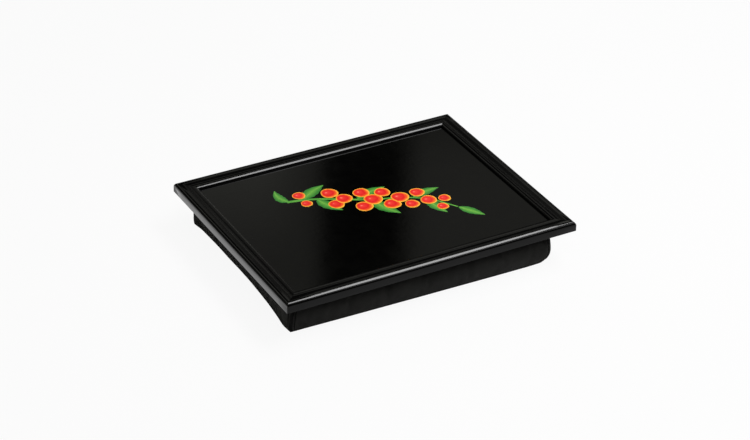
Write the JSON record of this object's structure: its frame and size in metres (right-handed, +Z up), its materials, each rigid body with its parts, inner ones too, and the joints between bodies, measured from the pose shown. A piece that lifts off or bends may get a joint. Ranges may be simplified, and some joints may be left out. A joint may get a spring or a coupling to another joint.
{
  "type": "lap tray",
  "caption": "Lap tray: a lacquered wooden frame round a printed board, held by hook and loop tape on a fabric cushion filled with loose beads, which lifts off.",
  "frame": {"origin": "the middle of the tray's outline, on the surface that the cushion's base lies on", "axes": "+X along the tray's long side, -Y out of the near long side, +Z up out of the tray's face"},
  "size_m": [0.43, 0.335, 0.06],
  "materials": {
    "rail_lacquer": "gloss",
    "fastener_steel": "satin",
    "hardboard": "matte",
    "printed_face": "gloss",
    "hook_tape": "matte",
    "loop_tape": "matte",
    "cushion_fabric": "matte",
    "beads": "matte"
  },
  "bodies": {
    "cushion": {"cushion_top": "cushion_fabric", "cushion_front_wall": "cushion_fabric", "cushion_back_wall": "cushion_fabric", "cushion_left_wall": "cushion_fabric", "cushion_right_wall": "cushion_fabric", "cushion_base": "cushion_fabric", "bead_fill": "beads", "loop_strip_front": "loop_tape", "loop_strip_back": "loop_tape", "loop_strip_left": "loop_tape", "loop_strip_right": "loop_tape"},
    "tray": {"front_rail": "rail_lacquer", "back_rail": "rail_lacquer", "left_rail": "rail_lacquer", "right_rail": "rail_lacquer", "corner_nails": "fastener_steel", "tray_board": "hardboard", "printed_sheet": "printed_face", "board_points": "fastener_steel", "hook_strip_front": "hook_tape", "hook_strip_back": "hook_tape", "hook_strip_left": "hook_tape", "hook_strip_right": "hook_tape"}
  },
  "joints": [
    {"name": "tray_lift", "type": "slide", "parent": "cushion", "child": "tray", "axis": [0, 0, 1], "range_m": [0, 0.1]}
  ]
}
